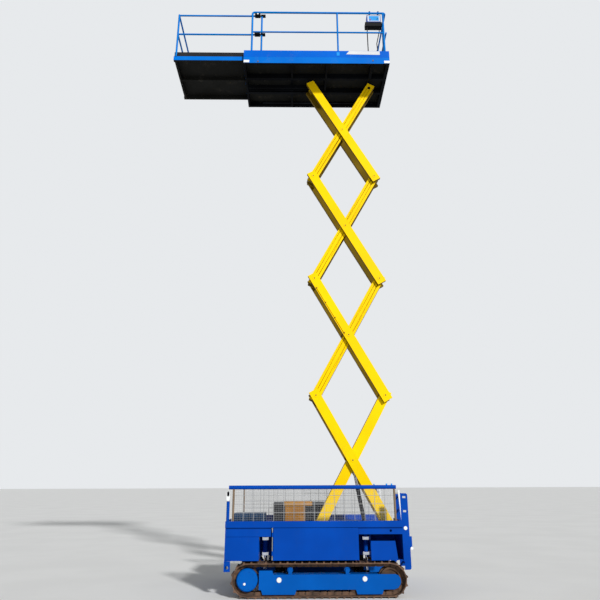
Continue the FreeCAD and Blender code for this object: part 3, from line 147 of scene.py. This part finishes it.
LOOKS = {
    "blue": dict(colour=(0.0, 0.060, 0.39), shade=(0.0, 0.050, 0.33), dirt=(0.03, 0.05, 0.12)),
    "rail_blue": dict(colour=(0.0, 0.20, 0.64), shade=(0.0, 0.17, 0.57), dirty=0.15),
    "deck_blue": dict(colour=(0.0, 0.165, 0.64), shade=(0.0, 0.14, 0.58), dirty=0.2),
    "toe_blue": dict(colour=(0.0, 0.125, 0.62), shade=(0.0, 0.105, 0.55), dirty=0.2),
    "track_blue": dict(colour=(0.0, 0.095, 0.42), shade=(0.0, 0.08, 0.36), dirt=(0.08, 0.09, 0.12),
                       dirty=0.3),
    "bright_blue": dict(colour=(0.02, 0.30, 0.80), shade=(0.01, 0.26, 0.74), dirty=0.1, coat=0.1),
    "control_blue": dict(colour=(0.05, 0.34, 0.78), shade=(0.04, 0.30, 0.70), dirty=0.1, coat=0.1),
    "dark_blue": dict(colour=(0.002, 0.045, 0.13), shade=(0.001, 0.035, 0.10), dirty=0.3),
    "yellow": dict(colour=(1.0, 0.66, 0.0), shade=(0.95, 0.60, 0.0), dirt=(0.10, 0.07, 0.03), dirty=0.3),
    # Dark yellow for arm faces that look down or inward: painted shade.
    "painted_shade_yellow": dict(colour=(0.17, 0.105, 0.003), shade=(0.12, 0.075, 0.002), dirt=(0.03, 0.02, 0.01),
                        dirty=0.5, rough=(0.5, 0.7)),
    "ochre": dict(colour=(0.46, 0.20, 0.02), shade=(0.34, 0.14, 0.015), dirt=(0.05, 0.03, 0.02),
                  dirty=0.6, rough=(0.45, 0.7), patch_scale=5.0),
    # The lid is the box's ochre painted lighter: painted light on the top of the box.
    "lit_lid_ochre": dict(colour=(0.60, 0.29, 0.04), shade=(0.50, 0.22, 0.03), dirt=(0.05, 0.03, 0.02),
                      dirty=0.5, rough=(0.45, 0.7), patch_scale=5.0),
    "red": dict(colour=(0.6, 0.01, 0.01), shade=(0.5, 0.008, 0.008), dirty=0.2, rough=(0.2, 0.35)),
    "pale": dict(colour=(0.72, 0.73, 0.74), shade=(0.64, 0.65, 0.67)),
    "track_steel": dict(colour=(0.17, 0.10, 0.065), shade=(0.09, 0.06, 0.045), dirt=RUST, dirty=0.9,
                        rough=(0.6, 0.9), metallic=0.2, grain=(90.0, 1.2), patch_scale=9.0),
    "rust_steel": dict(colour=(0.12, 0.07, 0.045), shade=(0.06, 0.045, 0.035), dirt=RUST, dirty=0.9,
                       rough=(0.5, 0.85), metallic=0.2, grain=(120.0, 1.0), patch_scale=7.0),
    "dark_steel": dict(colour=(0.022, 0.023, 0.026), shade=(0.012, 0.012, 0.014)),
    "engine_grey": dict(colour=(0.06, 0.06, 0.065), shade=(0.04, 0.04, 0.04), dirty=0.5,
                        rough=(0.5, 0.8)),
    "bare_steel": dict(colour=(0.62, 0.62, 0.62), shade=(0.5, 0.5, 0.5), dirt=RUST, dirty=0.3,
                       rough=(0.22, 0.4), metallic=1.0, gloss=0.5),
    "rod_chrome": dict(colour=(0.75, 0.75, 0.76), shade=(0.68, 0.68, 0.7), dirty=0.2,
                       rough=(0.08, 0.2), metallic=1.0, grain=(400.0, 0.1), gloss=0.5),
    "tan_steel": dict(colour=(0.24, 0.18, 0.12), shade=(0.17, 0.12, 0.08), dirt=RUST, dirty=0.5,
                      rough=(0.5, 0.8)),
    "mesh_grey": dict(colour=(0.36, 0.37, 0.38), shade=(0.28, 0.28, 0.28), dirt=RUST, dirty=0.3,
                      rough=(0.4, 0.7)),
    # The collars give off their own white glow: painted light that keeps them bright in the shade of the
    # recess; they are no lamp.
    "glowing_collar_white": dict(colour=(0.86, 0.90, 0.92), shade=(0.80, 0.85, 0.88), dirty=0.1,
                         rough=(0.12, 0.22), grain=(400.0, 0.1), gloss=0.5, glow=0.45),
    "lamp_white": dict(colour=(0.85, 0.86, 0.84), shade=(0.78, 0.80, 0.79), dirty=0.15,
                       rough=(0.12, 0.25), gloss=0.5),
    "lens_dark": dict(colour=(0.02, 0.022, 0.03), shade=(0.012, 0.013, 0.018), dirty=0.1,
                      rough=(0.05, 0.12), gloss=0.5),
    # Near-black tread plate; on the underside of the extension deck this darkness is painted shade.
    "tread_plate": dict(colour=(0.013, 0.013, 0.012), shade=(0.009, 0.009, 0.008), dirty=0.3,
                        rough=(0.5, 0.8)),
    "black_plastic": dict(colour=(0.012, 0.012, 0.013), shade=(0.008, 0.008, 0.009), dirty=0.2,
                          rough=(0.45, 0.65)),
    # Near-black for the belly of the platform and the parts under it: painted shade.
    "painted_shade_black": dict(colour=(0.004, 0.005, 0.007), shade=(0.002, 0.002, 0.003),
                        dirt=(0.02, 0.02, 0.02), dirty=0.3, rough=(0.6, 0.85)),
}
finishes = {name: finish_material(name, **look) for name, look in LOOKS.items()}


def dress(node, *names):
    node.data.materials.clear()
    for name in names:
        node.data.materials.append(finishes[name])


for part in frame["record"]["subparts"]:
    dress(nodes[part["node"]], part["material_slot"])

# Nodes with more than one paint: a rule gives each face the place of its look in the row after it
BELT_Y = 0.815
FACING, SQUARE, SLANT = 0.5, 0.9, 0.3
FRAME_SIDE_Y, FRAME_LEFT, FRAME_RIGHT = 0.680, -0.749, 2.163
EXTENSION_SIDE_Y = 0.59
TOE_TOP = 9.81
BLOCK_LEFT, BLOCK_RIGHT, BLOCK_HALF, BLOCK_HEIGHTS = -0.435, -0.330, 0.026, (10.262, 10.747)
CASE_LOW = 10.579
GUARD_RAIL_LOW, GUARD_STRIP_X, STRIP_WHITE_LOW = 1.450, 1.795, 1.212
GUARD_POSTS, GUARD_POST_HALF = (-0.637, 1.744), 0.017
COLLAR_X, COLLAR_Y, COLLAR_FLAT_HIGH = (-0.172, 1.334), 0.605, 0.80
BARREL_REACH = 0.0395
CARRIER_LOW = 0.30
SPROCKET_FACE = 0.045


def one_paint(face):
    return 0


def frame_part(face):
    """Sides and ends of the platform frame in its paint, and its belly near-black: painted shade under the
    platform.
    """
    spot, look = face.center, face.normal
    side_face = abs(spot.y) > FRAME_SIDE_Y and spot.y * look.y > SLANT
    end_face = (spot.x < FRAME_LEFT and look.x < -FACING) or (spot.x > FRAME_RIGHT and look.x > FACING)
    return 0 if side_face or end_face else 1


# Sides of the extension deck in blue; every other face near-black tread plate, which on the underside is
# painted shade.
def extension_part(face):
    side_face = abs(face.normal.z) < FACING and abs(face.center.y) > EXTENSION_SIDE_Y
    return 0 if side_face else 1


def slide_part(face):
    if face.center.z < TOE_TOP:
        return 1
    beside = min(abs(face.center.z - height) for height in BLOCK_HEIGHTS) < BLOCK_HALF
    return 2 if beside and BLOCK_LEFT < face.center.x < BLOCK_RIGHT else 0


def case_part(face):
    return 0 if face.center.z > CASE_LOW else 1


def guard_part(face):
    spot = face.center
    if spot.z > GUARD_RAIL_LOW:
        return 0
    if spot.x > GUARD_STRIP_X:
        return 3 if spot.z > STRIP_WHITE_LOW else 0
    if min(abs(spot.x - place) for place in GUARD_POSTS) < GUARD_POST_HALF:
        return 1
    return 2


def collar_part(face):
    reach = min(math.hypot(face.center.x - x, abs(face.center.y) - COLLAR_Y) for x in COLLAR_X)
    flat = abs(face.normal.z) > FACING and face.center.z < COLLAR_FLAT_HIGH
    return 1 if reach > BARREL_REACH or flat else 0


def roller_part(face):
    return 1 if face.center.z < CARRIER_LOW else 0


def sprocket_part(face):
    return 1 if abs(face.center.y) - BELT_Y < SPROCKET_FACE else 0


def arm_part(face):
    """Faces that look down or at the other tube of the same arm get a dark yellow: painted shade."""
    inward = face.center.y * face.normal.y < 0 and abs(face.normal.y) > SQUARE
    return 1 if inward or face.normal.z < -SLANT else 0


RULES = [
    # The frame's belly, the top brackets and the slides are painted near-black: painted shade under the
    # platform.
    ("platform_frame", frame_part, ("deck_blue", "painted_shade_black")),
    ("toe_boards", one_paint, ("toe_blue",)),
    ("top_brackets", one_paint, ("painted_shade_black",)),
    ("platform_slides", one_paint, ("painted_shade_black",)),
    ("extension_deck", extension_part, ("deck_blue", "tread_plate")),
    ("extension_rails", slide_part, ("rail_blue", "dark_steel", "black_plastic")),
    ("control_box", case_part, ("blue", "black_plastic")),
    ("level_barrels", collar_part, ("blue", "glowing_collar_white")),
    ("tie_lugs", one_paint, ("blue",)),
    ("store_lid", one_paint, ("lit_lid_ochre",)),
]
for side_name, _ in SIDES:
    RULES += [
        ("track_frame_" + side_name, one_paint, ("track_blue",)),
        ("sprocket_" + side_name, sprocket_part, ("track_blue", "rust_steel")),
        ("rollers_" + side_name, roller_part, ("track_blue", "rust_steel")),
        ("guard_" + side_name, guard_part, ("blue", "tan_steel", "mesh_grey", "lamp_white")),
    ]
ARMS = ["%s_arm_%d" % (kind, stage) for kind in ("outer", "inner") for stage in range(1, STAGES + 1)]
RULES += [(name, arm_part, ("yellow", "painted_shade_yellow")) for name in ARMS]
for name, rule, looks in RULES:
    dress(nodes[name], *looks)
    for face in nodes[name].data.polygons:
        face.material_index = rule(face)

# Soft edges on the CAD pieces, made by modifiers so that their meshes stay as packed
WELD_GAP = 0.00002
SOFT_ANGLE = math.radians(35)
SOFT_WIDTHS = {"chassis_frame": 0.004, "power_pack": 0.006, "valve_chest": 0.006,
               "platform_frame": 0.0015, "control_box": 0.006, "engine": 0.006, "oil_tank": 0.006}
SOFT_WIDTHS.update({name: 0.006 for name in ARMS})
for name, width in SOFT_WIDTHS.items():
    weld = nodes[name].modifiers.new("weld", "WELD")
    weld.merge_threshold = WELD_GAP
    bevel = nodes[name].modifiers.new("bevel", "BEVEL")
    bevel.width = width
    bevel.segments = 2
    bevel.limit_method = "ANGLE"
    bevel.angle_limit = SOFT_ANGLE
    bevel.harden_normals = True
    bevel.use_clamp_overlap = True


class Group:
    """Small solids joined into one mesh that rides on a body. A look is a place in the group's looks."""

    HEXAGON = 6

    def __init__(self, name, body, slot, *looks):
        self.name, self.body, self.slot, self.looks = name, body, slot, looks
        self.points, self.faces, self.indices, self.smooth = [], [], [], []

    def add(self, points, faces, look, smooth=False):
        start = len(self.points)
        self.points += [tuple(p) for p in points]
        self.faces += [tuple(start + i for i in face) for face in faces]
        self.indices += [look] * len(faces)
        self.smooth += [smooth] * len(faces)

    def box(self, low, high, look=0):
        xs, ys, zs = zip(low, high)
        points = [(x, y, z) for x in xs for y in ys for z in zs]
        faces = [(0, 1, 3, 2), (4, 6, 7, 5), (0, 4, 5, 1), (2, 3, 7, 6), (0, 2, 6, 4), (1, 5, 7, 3)]
        self.add(points, faces, look)

    def plate(self, corners, front, back, look=0):
        """A flat plate across Y with four corners, each an (x, z)."""
        points = [(x, y, z) for y in (front, back) for x, z in corners]
        faces = [(0, 1, 2, 3), (7, 6, 5, 4), (0, 4, 5, 1), (1, 5, 6, 2), (2, 6, 7, 3), (3, 7, 4, 0)]
        self.add(points, faces, look)

    def rod(self, start, end, radius, look=0, sides=16, end_radius=None):
        """A round bar, or a cone where the end has its own radius. Up to six sides stay flat."""
        start, end = Vector(start), Vector(end)
        along = (end - start).normalized()
        aside = along.orthogonal().normalized()
        beside = along.cross(aside)
        end_radius = radius if end_radius is None else end_radius
        points = []
        for centre, reach in ((start, radius), (end, end_radius)):
            for step in range(sides):
                angle = 2 * math.pi * step / sides
                points.append(centre + (aside * math.cos(angle) + beside * math.sin(angle)) * reach)
        around = [(i, (i + 1) % sides, (i + 1) % sides + sides, i + sides) for i in range(sides)]
        self.add(points, around, look, sides > self.HEXAGON)
        self.add(points, [tuple(range(sides - 1, -1, -1)), tuple(range(sides, 2 * sides))], look)

    def stud(self, x, z, start, end, radius, **shape):
        """A rod across Y."""
        self.rod((x, start, z), (x, end, z), radius, **shape)

    def done(self):
        mesh = bpy.data.meshes.new(self.name)
        mesh.from_pydata(self.points, [], self.faces)
        for look in self.looks:
            mesh.materials.append(finishes[look])
        for face, index, smooth in zip(mesh.polygons, self.indices, self.smooth):
            face.material_index = index
            face.use_smooth = smooth
        mesh.validate()
        thing = placed(self.name, mesh)
        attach(thing, self.body)


# Fine wires between the coarse grid of the chassis guards
GUARD_Y = 0.940
MESH_LEFT, MESH_RIGHT, MESH_LOW, MESH_HIGH = -0.62, 1.73, 1.012, 1.455
MESH_STEP, WIRE_HALF = 0.0248, 0.0009
for side_name, side in SIDES:
    wires = Group("fine_wires_" + side_name, "chassis", "tan_steel", "mesh_grey")
    low_y, high_y = GUARD_Y * side - WIRE_HALF, GUARD_Y * side + WIRE_HALF
    for step in range(1, int((MESH_RIGHT - MESH_LEFT) / MESH_STEP)):
        x = MESH_LEFT + step * MESH_STEP
        wires.box((x - WIRE_HALF, low_y, MESH_LOW), (x + WIRE_HALF, high_y, MESH_HIGH))
    for step in range(1, int((MESH_HIGH - MESH_LOW) / MESH_STEP) + 1):
        z = MESH_LOW + step * MESH_STEP
        wires.box((MESH_LEFT, low_y, z - WIRE_HALF), (MESH_RIGHT, high_y, z + WIRE_HALF))
    wires.done()

# Caps with a centre stud on the pins, on both outer faces of the scissor pack
ARM_LONG, RAISED = 2.442, math.radians(60.874)
RISE, SPREAD = ARM_LONG * math.sin(RAISED), ARM_LONG * math.cos(RAISED)
HINGE_X, HINGE_Z = 1.818, 0.83
ARM_FACE, CAP_FACE, STUD_FACE = 0.1745, 0.179, 0.1798
CAP_RADIUS, STUD_RADIUS = 0.036, 0.012
for stage in range(1, STAGES + 1):
    caps = Group("pin_caps_%d" % stage, "outer_%d" % stage, "yellow", "yellow", "rust_steel")
    spots = [(HINGE_X - SPREAD / 2, HINGE_Z + RISE * (stage - 0.5))]
    if stage > 1:
        spots.append((HINGE_X, HINGE_Z + RISE * (stage - 1)))
    if stage < STAGES:
        spots.append((HINGE_X - SPREAD, HINGE_Z + RISE * stage))
    for x, z in spots:
        for _, side in SIDES:
            caps.stud(x, z, ARM_FACE * side, CAP_FACE * side, CAP_RADIUS, sides=24)
            caps.stud(x, z, CAP_FACE * side, STUD_FACE * side, STUD_RADIUS, look=1, sides=12)
    caps.done()

# Thin pipe with clips on the near face of the second outer arm, from its upper pin to the crossing
PIPE_TOP, PIPE_FOOT = Vector((0.656, -0.184, 4.930)), Vector((1.158, -0.184, 4.040))
PIPE_RADIUS = 0.007
CLIP_HALF, CLIP_SHARES = Vector((0.010, 0.0085, 0.008)), (0.03, 0.34, 0.66, 0.97)
pipe = Group("arm_pipe", "outer_2", "yellow", "yellow", "dark_steel")
pipe.rod(PIPE_TOP, PIPE_FOOT, PIPE_RADIUS, sides=12)
for share in CLIP_SHARES:
    spot = PIPE_TOP.lerp(PIPE_FOOT, share)
    pipe.box(spot - CLIP_HALF, spot + CLIP_HALF, look=1)
pipe.done()

# Blank plate, socket and bolts on the near side of the platform, and a clamp knob on each rail
TOE_FACE, PLATE_FACE, SOCKET_FACE, BOLT_FACE = -0.682, -0.6845, -0.688, -0.690
PLATE_CORNERS = ((1.300, 9.700), (1.975, 9.690), (1.975, 9.778), (1.360, 9.780))
SOCKET_LEFT, SOCKET_RIGHT, SOCKET_LOW, SOCKET_HIGH = 1.106, 1.166, 9.660, 9.745
BOLT_PLACES = ((-0.463, 9.508), (1.832, 9.545))
KNOB_X, KNOB_Z, KNOB_IN, KNOB_OUT = -0.493, 10.742, 0.657, 0.664
BOLT_RADIUS, KNOB_RADIUS = 0.016, 0.016
trim = Group("platform_trim", "platform", "lamp_white", "pale", "tan_steel", "bright_blue", "lamp_white")
trim.plate(PLATE_CORNERS, PLATE_FACE, TOE_FACE)
trim.box((SOCKET_LEFT, SOCKET_FACE, SOCKET_LOW), (SOCKET_RIGHT, TOE_FACE, SOCKET_HIGH), look=2)
for x, z in BOLT_PLACES:
    trim.stud(x, z, TOE_FACE, BOLT_FACE, BOLT_RADIUS, look=1, sides=12)
for _, side in SIDES:
    trim.stud(KNOB_X, KNOB_Z, KNOB_IN * side, KNOB_OUT * side, KNOB_RADIUS, look=3, sides=20)
trim.done()

# Link pins and shoe bolts on the tracks, white caps on their frames, plug and bolts on the final drive
WHEEL_Z, DRIVE_X, WHEELS_APART, BELT_RADIUS, SHOES = 0.235, -0.411, 2.05, 0.205, 52
HALF_TURN = math.pi * BELT_RADIUS
BELT_LONG = 2 * WHEELS_APART + 2 * HALF_TURN
SHOE_PITCH = BELT_LONG / SHOES
PIN_DEPTH, PIN_OFFSET, PIN_LONG, PIN_RADIUS = 0.022, 0.075, 0.006, 0.013
SHOE_BOLT_SHARE, SHOE_BOLT_OFFSET, SHOE_BOLT_RADIUS = 0.7, 0.06, 0.010
SHOE_FACE, SHOE_BOLT_TALL = 0.0118, 0.006
FRAME_CAPS, FRAME_CAP_IN, FRAME_CAP_OUT = ((0.042, 0.231), (1.263, 0.241)), 0.925, 0.934
FRAME_CAP_FOOT, FRAME_CAP_TOP = 0.036, 0.030
PLUG_X, PLUG_Z, PLUG_OUT, PLUG_RADIUS = -0.444, 0.188, 0.962, 0.017
DRIVE_FACE, DRIVE_BOLTS, DRIVE_BOLT_CIRCLE = 0.955, 10, 0.115
DRIVE_BOLT_TALL, DRIVE_BOLT_RADIUS = 0.005, 0.008


def belt_place(distance):
    """The place this far along the belt of plates, and the direction that looks out of the belt there."""
    distance %= BELT_LONG
    if distance < WHEELS_APART:
        return Vector((DRIVE_X + distance, 0, WHEEL_Z - BELT_RADIUS)), Vector((0, 0, -1))
    distance -= WHEELS_APART
    if distance < HALF_TURN:
        angle = distance / BELT_RADIUS - math.pi / 2
        out = Vector((math.cos(angle), 0, math.sin(angle)))
        return Vector((DRIVE_X + WHEELS_APART, 0, WHEEL_Z)) + out * BELT_RADIUS, out
    distance -= HALF_TURN
    if distance < WHEELS_APART:
        return Vector((DRIVE_X + WHEELS_APART - distance, 0, WHEEL_Z + BELT_RADIUS)), Vector((0, 0, 1))
    angle = (distance - WHEELS_APART) / BELT_RADIUS + math.pi / 2
    out = Vector((math.cos(angle), 0, math.sin(angle)))
    return Vector((DRIVE_X, 0, WHEEL_Z)) + out * BELT_RADIUS, out


for side_name, side in SIDES:
    small = Group("track_trim_" + side_name, "chassis", "rust_steel",
                  "rust_steel", "lamp_white", "track_blue")
    for index in range(SHOES):
        spot, out = belt_place(index * SHOE_PITCH)
        for offset in (-PIN_OFFSET, PIN_OFFSET):
            start = spot - out * PIN_DEPTH + Vector((0, (BELT_Y + offset) * side, 0))
            end = start + Vector((0, math.copysign(PIN_LONG, offset) * side, 0))
            small.rod(start, end, PIN_RADIUS, sides=10)
        spot, out = belt_place((index + SHOE_BOLT_SHARE) * SHOE_PITCH)
        for offset in (-SHOE_BOLT_OFFSET, SHOE_BOLT_OFFSET):
            start = spot + out * SHOE_FACE + Vector((0, (BELT_Y + offset) * side, 0))
            small.rod(start, start + out * SHOE_BOLT_TALL, SHOE_BOLT_RADIUS, sides=6)
    for x, z in FRAME_CAPS:
        small.stud(x, z, FRAME_CAP_IN * side, FRAME_CAP_OUT * side, FRAME_CAP_FOOT,
                   look=1, sides=24, end_radius=FRAME_CAP_TOP)
    # The drain plug is painted lamp white: a painted glint on the hub.
    small.stud(PLUG_X, PLUG_Z, DRIVE_FACE * side, PLUG_OUT * side, PLUG_RADIUS, look=1)
    for step in range(DRIVE_BOLTS):
        angle = 2 * math.pi * step / DRIVE_BOLTS
        x = DRIVE_X + DRIVE_BOLT_CIRCLE * math.cos(angle)
        z = WHEEL_Z + DRIVE_BOLT_CIRCLE * math.sin(angle)
        small.stud(x, z, DRIVE_FACE * side, (DRIVE_FACE + DRIVE_BOLT_TALL) * side, DRIVE_BOLT_RADIUS,
                   look=2, sides=6)
    small.done()

# Work lamp lens, marker lamps on the ladder (x, z, back, face, radius), and knobs over the guard rails
LENS_X, LENS_LOW, LENS_HIGH, LENS_RADIUS = -0.714, 1.372, 1.408, 0.017
LENS_BACK, LENS_FACE = -0.970, -0.9725
MARKERS = ((1.880, 0.911, -0.945, -0.953, 0.026), (1.957, 0.640, -0.947, -0.925, 0.020))
RAIL_KNOB_X, RAIL_KNOB_LOW, RAIL_KNOB_HIGH, RAIL_KNOB_RADIUS = (1.635, 1.710), 1.505, 1.528, 0.012
lamps = Group("lamp_faces", "chassis", "lamp_white", "lens_dark", "lamp_white", "bright_blue")
for z in (LENS_LOW, LENS_HIGH):
    lamps.stud(LENS_X, z, LENS_BACK, LENS_FACE, LENS_RADIUS, sides=24)
lamps.box((LENS_X - LENS_RADIUS, LENS_FACE, LENS_LOW), (LENS_X + LENS_RADIUS, LENS_BACK, LENS_HIGH))
for x, z, start, end, radius in MARKERS:
    lamps.stud(x, z, start, end, radius, look=1, sides=24)
for _, side in SIDES:
    for x in RAIL_KNOB_X:
        low, high = (x, GUARD_Y * side, RAIL_KNOB_LOW), (x, GUARD_Y * side, RAIL_KNOB_HIGH)
        lamps.rod(low, high, RAIL_KNOB_RADIUS, look=2)
lamps.done()

# Locks of the side doors: a round barrel with its keyway
LOCK_X, LOCK_Z, LOCK_RADIUS = 1.153, 0.880, 0.014
DOOR_FACE, LOCK_FACE, KEYWAY_Y = 0.941, 0.945, 0.9455
KEYWAY_HALF = Vector((0.002, 0.0005, 0.008))
for side_name, side in SIDES:
    lock = Group("door_lock_" + side_name, "door_" + side_name, "bare_steel", "pale", "dark_steel")
    # The pale barrel is a painted highlight on the lock.
    lock.stud(LOCK_X, LOCK_Z, DOOR_FACE * side, LOCK_FACE * side, LOCK_RADIUS, sides=20)
    keyway = Vector((LOCK_X, KEYWAY_Y * side, LOCK_Z))
    lock.box(keyway - KEYWAY_HALF, keyway + KEYWAY_HALF, look=1)
    lock.done()

# Face of the control box: pale surround, blue panel, red button and a short lever
CASE_FACE, SURROUND_FACE, PANEL_FACE, BUTTON_FACE, LEVER_END = -0.6317, -0.6345, -0.636, -0.646, -0.652
SURROUND_LEFT, SURROUND_RIGHT, SURROUND_LOW, SURROUND_HIGH = 1.775, 2.032, 10.592, 10.747
PANEL_LEFT, PANEL_RIGHT, PANEL_LOW, PANEL_HIGH = 1.800, 2.008, 10.608, 10.731
BUTTON_X, BUTTON_Z, BUTTON_RADIUS = 1.828, 10.632, 0.012
LEVER_X, LEVER_Z, LEVER_RADIUS = 1.975, 10.650, 0.007
control = Group("control_face", "platform", "control_blue", "pale", "control_blue", "black_plastic", "red")
control.box((SURROUND_LEFT, SURROUND_FACE, SURROUND_LOW), (SURROUND_RIGHT, CASE_FACE, SURROUND_HIGH))
control.box((PANEL_LEFT, PANEL_FACE, PANEL_LOW), (PANEL_RIGHT, SURROUND_FACE, PANEL_HIGH), look=1)
control.stud(BUTTON_X, BUTTON_Z, PANEL_FACE, BUTTON_FACE, BUTTON_RADIUS, look=3, sides=20)
control.stud(LEVER_X, LEVER_Z, PANEL_FACE, LEVER_END, LEVER_RADIUS, look=2, sides=12)
control.done()

# Camera at the photographer's place, fitted to the photo: focal length in pixels of a 600 pixel frame
FOCAL_PIXELS, FRAME_PIXELS, SENSOR_WIDTH = 554.25, 600, 36.0
EYE = Vector((0.235, -9.642, 1.501))
TILT, ROLL, YAW = 0.3233, -0.0034, -0.0136
camera_data = bpy.data.cameras.new("camera")
camera_data.sensor_width = SENSOR_WIDTH
camera_data.lens = SENSOR_WIDTH * FOCAL_PIXELS / FRAME_PIXELS
camera = placed("camera", camera_data)
right = Vector((math.cos(YAW), math.sin(YAW), 0))
ahead = Vector((-math.sin(YAW), math.cos(YAW), 0))
forward = ahead * math.cos(TILT) + Vector((0, 0, math.sin(TILT)))
upward = -ahead * math.sin(TILT) + Vector((0, 0, math.cos(TILT)))
image_right = right * math.cos(ROLL) + upward * math.sin(ROLL)
image_up = -right * math.sin(ROLL) + upward * math.cos(ROLL)
camera.matrix_world = Matrix((
    (image_right.x, image_up.x, -forward.x, EYE.x),
    (image_right.y, image_up.y, -forward.y, EYE.y),
    (image_right.z, image_up.z, -forward.z, EYE.z),
    (0, 0, 0, 1)))
scene.camera = camera

# Pale floor that keeps the shadow
FLOOR_REACH = 400.0
FLOOR_CORNERS = [(x * FLOOR_REACH, y * FLOOR_REACH, 0) for x, y in ((-1, -1), (1, -1), (1, 1), (-1, 1))]
floor_mesh = bpy.data.meshes.new("floor")
floor_mesh.from_pydata(FLOOR_CORNERS, [], [(0, 1, 2, 3)])
floor_mesh.materials.append(finish_material("floor", (0.80, 0.80, 0.79), (0.77, 0.77, 0.76),
                                            rough=(0.7, 0.9), dirty=0.0, patch_scale=0.6))
placed("floor", floor_mesh)

# Even sky light, and a pale backdrop that only the camera and reflections see
SKY_COLOUR, SKY_STRENGTH = (0.95, 0.98, 1.0, 1.0), 0.30
BACKDROP_COLOUR, BACKDROP_STRENGTH = (0.80, 0.82, 0.84, 1.0), 1.0
world = bpy.data.worlds.new("studio")
scene.world = world
world.use_nodes = True
tree = world.node_tree
tree.nodes.clear()
lighting = shader_node(tree, "Background", {"Color": SKY_COLOUR, "Strength": SKY_STRENGTH})
backdrop = shader_node(tree, "Background", {"Color": BACKDROP_COLOUR, "Strength": BACKDROP_STRENGTH})
rays = tree.nodes.new("ShaderNodeLightPath").outputs
seen = rays["Is Camera Ray"]
for kind in ("Is Glossy Ray", "Is Transmission Ray"):
    either = tree.nodes.new("ShaderNodeMath")
    either.operation = "MAXIMUM"
    tree.links.new(seen, either.inputs[0])
    tree.links.new(rays[kind], either.inputs[1])
    seen = either.outputs["Value"]
mixed = tree.nodes.new("ShaderNodeMixShader")
tree.links.new(seen, mixed.inputs["Fac"])
tree.links.new(lighting.outputs["Background"], mixed.inputs[1])
tree.links.new(backdrop.outputs["Background"], mixed.inputs[2])
output = tree.nodes.new("ShaderNodeOutputWorld")
tree.links.new(mixed.outputs["Shader"], output.inputs["Surface"])

SUN_STRENGTH, SUN_ANGLE, SUN_DIRECTION = 3.3, math.radians(5), Vector((-0.42, 0.76, -0.46))
sun_data = bpy.data.lights.new("sun", "SUN")
sun_data.energy = SUN_STRENGTH
sun_data.angle = SUN_ANGLE
sun = placed("sun", sun_data)
sun.rotation_euler = SUN_DIRECTION.to_track_quat("-Z", "Y").to_euler()

scene.view_settings.view_transform = "Standard"
